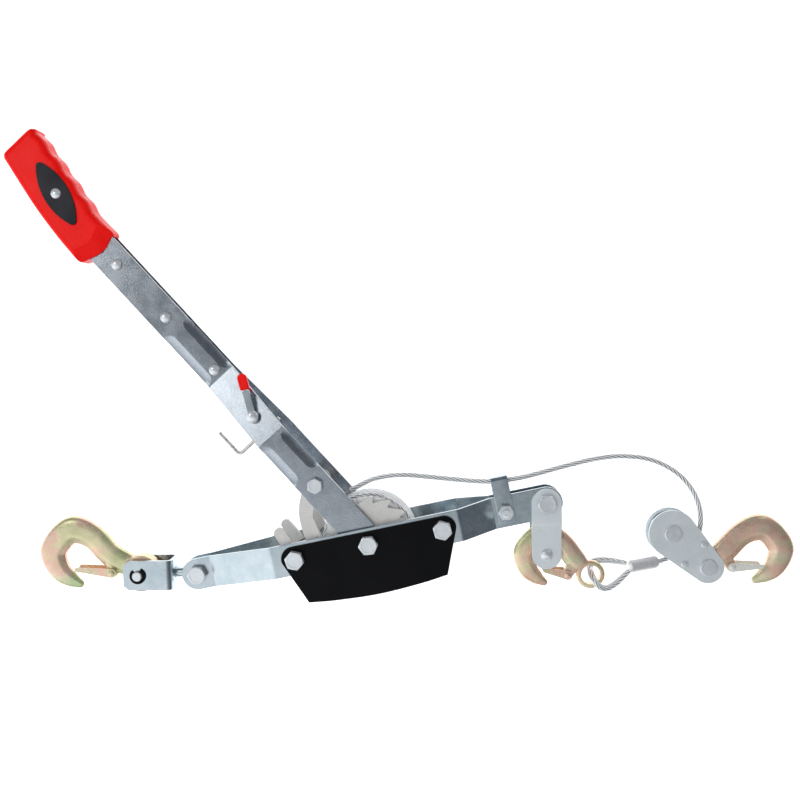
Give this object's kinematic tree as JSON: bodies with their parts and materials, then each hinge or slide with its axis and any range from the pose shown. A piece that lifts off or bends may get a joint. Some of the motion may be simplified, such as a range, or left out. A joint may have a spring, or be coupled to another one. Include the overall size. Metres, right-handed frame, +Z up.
{
  "type": "come along winch",
  "caption": "Lever-worked cable puller with a ratchet drum between bent side plates, a hook on a swivel, a wire rope and a pulley block with a hook.",
  "frame": {"origin": "on the drum's axis, at the lower face of the main bolt's nut, which is the level the winch lies on", "axes": "+Z up along the drum's axis; +X along the frame, from the anchor hook towards the pulley block; +Y towards the handle's grip"},
  "size_m": [0.7189, 0.572, 0.0785],
  "materials": {
    "bright_zinc": "bright blue-white zinc plate",
    "grey_zinc": "darker grey zinc plate, finely grained",
    "yellow_zinc": "yellow iridescent zinc plate on forged steel",
    "pale_steel": "matte warm grey, as cast and plated",
    "bolt_steel": "bright zinc plated fasteners",
    "black_paint": "satin black",
    "red_plastic": "glossy red moulded plastic",
    "black_plastic": "satin black panel",
    "rope_steel": "galvanised steel wire rope",
    "ferrule_aluminium": "pressed, pale satin",
    "spring_steel": "dark spring wire"
  },
  "bodies": {
    "frame": {"frame_plate_upper": "bright_zinc", "frame_plate_lower": "bright_zinc", "cover_upper": "black_paint", "cover_lower": "black_paint", "pawl_bolt": "bolt_steel", "main_bolt": "bolt_steel", "spacer_bolt": "bolt_steel", "anchor_bolt": "bolt_steel", "nose_bolt": "bolt_steel", "frame_spacer": "bright_zinc", "drum_bush": "pale_steel", "cable_clip": "bright_zinc", "clip_bolt": "bolt_steel", "stop_pawl_spring": "spring_steel", "cable": "rope_steel"},
    "drum": {"drum_core": "pale_steel", "ratchet_wheel_upper": "pale_steel", "ratchet_wheel_lower": "pale_steel", "cable_winding": "rope_steel"},
    "stop_pawl_upper": {"stop_pawl_upper": "pale_steel"},
    "stop_pawl_lower": {"stop_pawl_lower": "pale_steel"},
    "handle": {"handle_plate_upper": "grey_zinc", "handle_plate_lower": "grey_zinc", "grip": "red_plastic", "grip_inlay_upper": "black_plastic", "grip_inlay_lower": "black_plastic", "grip_rivet": "bolt_steel", "handle_rivet_1": "bolt_steel", "handle_rivet_2": "bolt_steel", "handle_rivet_3": "bolt_steel", "lever_rivet": "bolt_steel", "drive_pawl_bolt": "bolt_steel", "drive_pawl_spring": "spring_steel", "rod_guide": "bright_zinc"},
    "drive_pawl": {"drive_pawl": "pale_steel"},
    "direction_lever": {"direction_lever": "bright_zinc", "lever_cap": "red_plastic"},
    "release_rod": {"release_rod": "bolt_steel"},
    "swivel_eye": {"swivel_eye": "bright_zinc"},
    "clevis": {"swivel_clevis": "bright_zinc", "clevis_pin": "bolt_steel", "retaining_clip": "black_paint"},
    "anchor_hook": {"anchor_hook": "yellow_zinc"},
    "anchor_latch": {"anchor_latch": "yellow_zinc"},
    "link": {"link_upper": "bright_zinc", "link_lower": "bright_zinc", "link_pin": "bolt_steel"},
    "cable_hook": {"cable_hook": "yellow_zinc", "thimble": "rope_steel", "ferrule": "ferrule_aluminium"},
    "cable_latch": {"cable_latch": "yellow_zinc"},
    "block": {"block_plate_upper": "bright_zinc", "block_plate_lower": "bright_zinc", "sheave_axle": "bolt_steel", "block_rivet_1": "bolt_steel", "block_rivet_2": "bolt_steel", "block_hook_pin": "bolt_steel"},
    "sheave": {"sheave": "bright_zinc"},
    "load_hook": {"load_hook": "yellow_zinc"},
    "load_latch": {"load_latch": "yellow_zinc"}
  },
  "joints": [
    {"name": "handle_swing", "type": "hinge", "parent": "frame", "child": "handle", "pos_m": [0, 0, 0.04], "axis": [0, 0, 1], "range_deg": [-45, 12]},
    {"name": "drum_spin", "type": "hinge", "parent": "frame", "child": "drum", "pos_m": [0, 0, 0.04], "axis": [0, 0, 1], "continuous": true},
    {"name": "stop_pawl_upper_swing", "type": "hinge", "parent": "frame", "child": "stop_pawl_upper", "pos_m": [-0.07, 0, 0.06], "axis": [0, 0, 1], "range_deg": [0, 12], "stiffness_Nm_per_rad": 0.02, "deforming": ["stop_pawl_spring"]},
    {"name": "stop_pawl_lower_swing", "type": "hinge", "parent": "frame", "child": "stop_pawl_lower", "pos_m": [-0.07, 0, 0.02], "axis": [0, 0, 1], "range_deg": [0, 12], "stiffness_Nm_per_rad": 0.02, "deforming": ["stop_pawl_spring"]},
    {"name": "drive_pawl_swing", "type": "hinge", "parent": "handle", "child": "drive_pawl", "pos_m": [-0.03719, 0.0634, 0.04], "axis": [0, 0, -1], "range_deg": [-7, 0], "stiffness_Nm_per_rad": 0.1, "deforming": ["drive_pawl_spring"]},
    {"name": "direction_lever_turn", "type": "hinge", "parent": "handle", "child": "direction_lever", "pos_m": [-0.08086, 0.13783, 0.0628], "axis": [0, 0, 1], "range_deg": [-25, 25]},
    {"name": "release_rod_turn", "type": "hinge", "parent": "handle", "child": "release_rod", "pos_m": [-0.07262, 0.12377, 0.04], "axis": [0.8625, 0.506, 0], "range_deg": [0, 70]},
    {"name": "swivel_swing", "type": "hinge", "parent": "frame", "child": "swivel_eye", "pos_m": [-0.17, 0, 0.04], "axis": [0, 0, 1], "range_deg": [-50, 50]},
    {"name": "clevis_spin", "type": "hinge", "parent": "swivel_eye", "child": "clevis", "pos_m": [-0.17, 0, 0.04], "axis": [-0.9813, 0.1925, 0], "continuous": true},
    {"name": "anchor_hook_swing", "type": "hinge", "parent": "clevis", "child": "anchor_hook", "pos_m": [-0.22593, 0.01097, 0.04], "axis": [0, 0, 1], "range_deg": [-60, 75]},
    {"name": "anchor_latch_open", "type": "hinge", "parent": "anchor_hook", "child": "anchor_latch", "pos_m": [-0.2536, 0.01708, 0.04], "axis": [0, 0, -1], "range_deg": [0, 14], "stiffness_Nm_per_rad": 0.02, "springref_deg": -17.19},
    {"name": "link_swing", "type": "hinge", "parent": "frame", "child": "link", "pos_m": [0.17, 0, 0.04], "axis": [0, 0, 1], "range_deg": [-2, 0.5], "deforming": ["cable"]},
    {"name": "cable_hook_swing", "type": "hinge", "parent": "link", "child": "cable_hook", "pos_m": [0.16056, -0.04859, 0.04], "axis": [0, 0, 1], "range_deg": [-3, 2], "deforming": ["cable"]},
    {"name": "cable_latch_open", "type": "hinge", "parent": "cable_hook", "child": "cable_latch", "pos_m": [0.1763, -0.07291, 0.04], "axis": [0, 0, -1], "range_deg": [0, 28], "stiffness_Nm_per_rad": 0.015, "springref_deg": -17.19},
    {"name": "block_swing", "type": "hinge", "parent": "frame", "child": "block", "pos_m": [0.286, -0.061, 0.0115], "axis": [0, 0, 1], "range_deg": [-6, 8], "deforming": ["cable"]},
    {"name": "sheave_spin", "type": "hinge", "parent": "block", "child": "sheave", "pos_m": [0.286, -0.061, 0.0115], "axis": [0, 0, 1], "continuous": true},
    {"name": "load_hook_swing", "type": "hinge", "parent": "block", "child": "load_hook", "pos_m": [0.31292, -0.10062, 0.0115], "axis": [0, 0, 1], "range_deg": [-35, 24]},
    {"name": "load_latch_open", "type": "hinge", "parent": "load_hook", "child": "load_latch", "pos_m": [0.33638, -0.106, 0.0115], "axis": [0, 0, 1], "range_deg": [0, 28], "stiffness_Nm_per_rad": 0.02, "springref_deg": -17.19}
  ]
}
